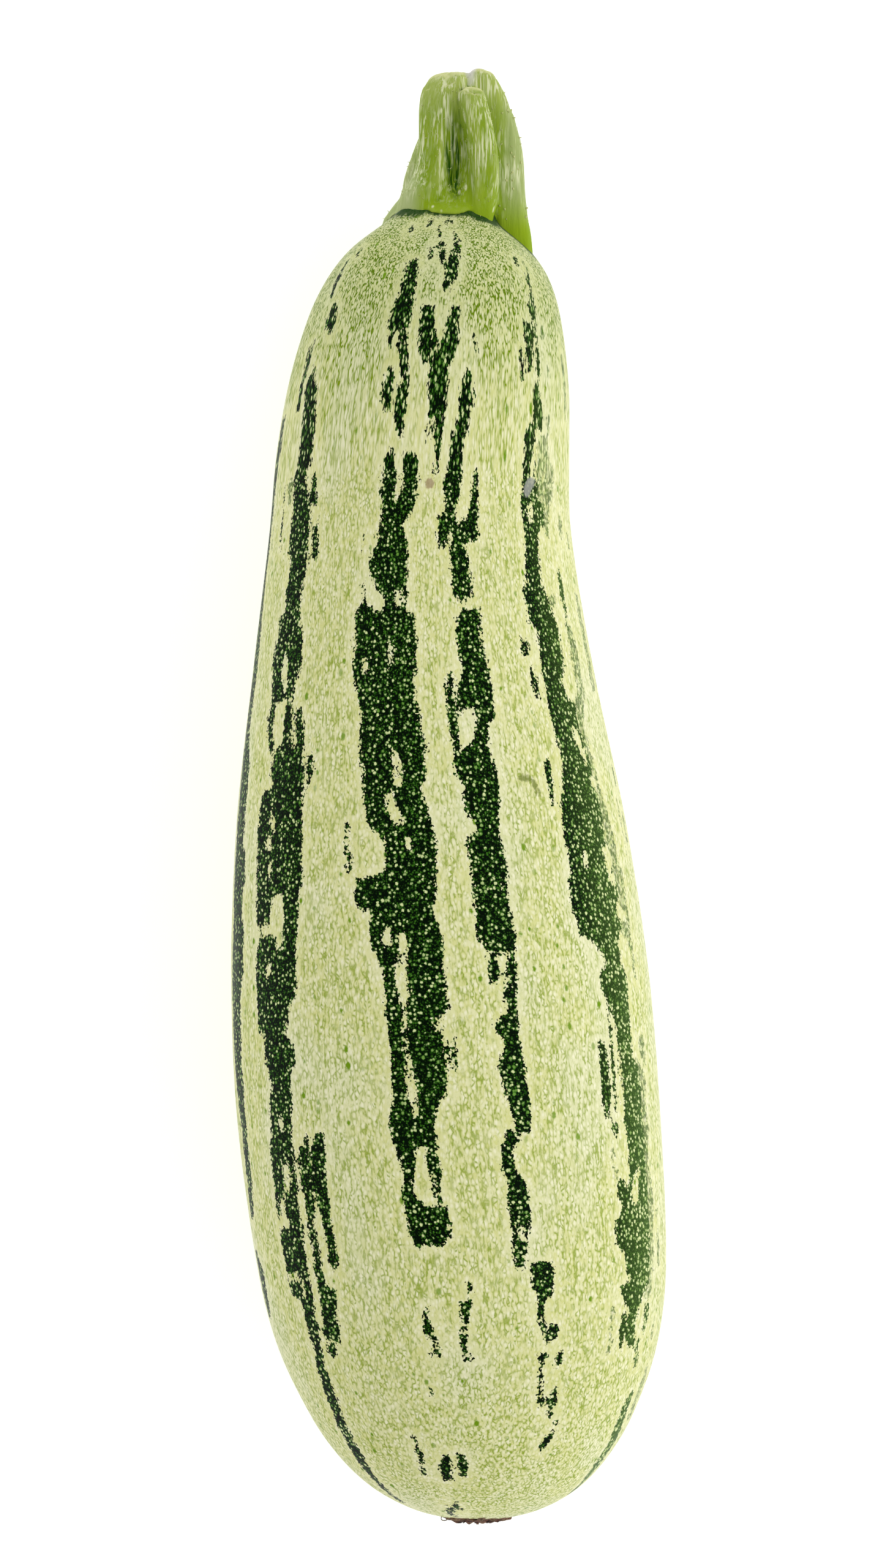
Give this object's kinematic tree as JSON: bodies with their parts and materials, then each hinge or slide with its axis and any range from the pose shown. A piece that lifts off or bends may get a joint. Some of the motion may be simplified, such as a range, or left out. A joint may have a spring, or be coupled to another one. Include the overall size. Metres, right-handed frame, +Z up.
{
  "type": "striped zucchini",
  "caption": "Long pale green zucchini with dark broken stripes, a ridged cut stem and a dried flower scar, lying on its side.",
  "frame": {"origin": "on the surface that the zucchini lies on, under the middle of its bounding box", "axes": "+Z up, +Y along the fruit towards the stem, +X to the right seen from above with the stem away"},
  "size_m": [0.0854, 0.2864, 0.082],
  "materials": {
    "skin": "waxy, softly shining skin",
    "stem": "satin, fibrous",
    "dried_flower": "dull, dry"
  },
  "bodies": {
    "root": {"fruit": "skin", "stem": "stem", "blossom_scar": "dried_flower"}
  },
  "joints": []
}
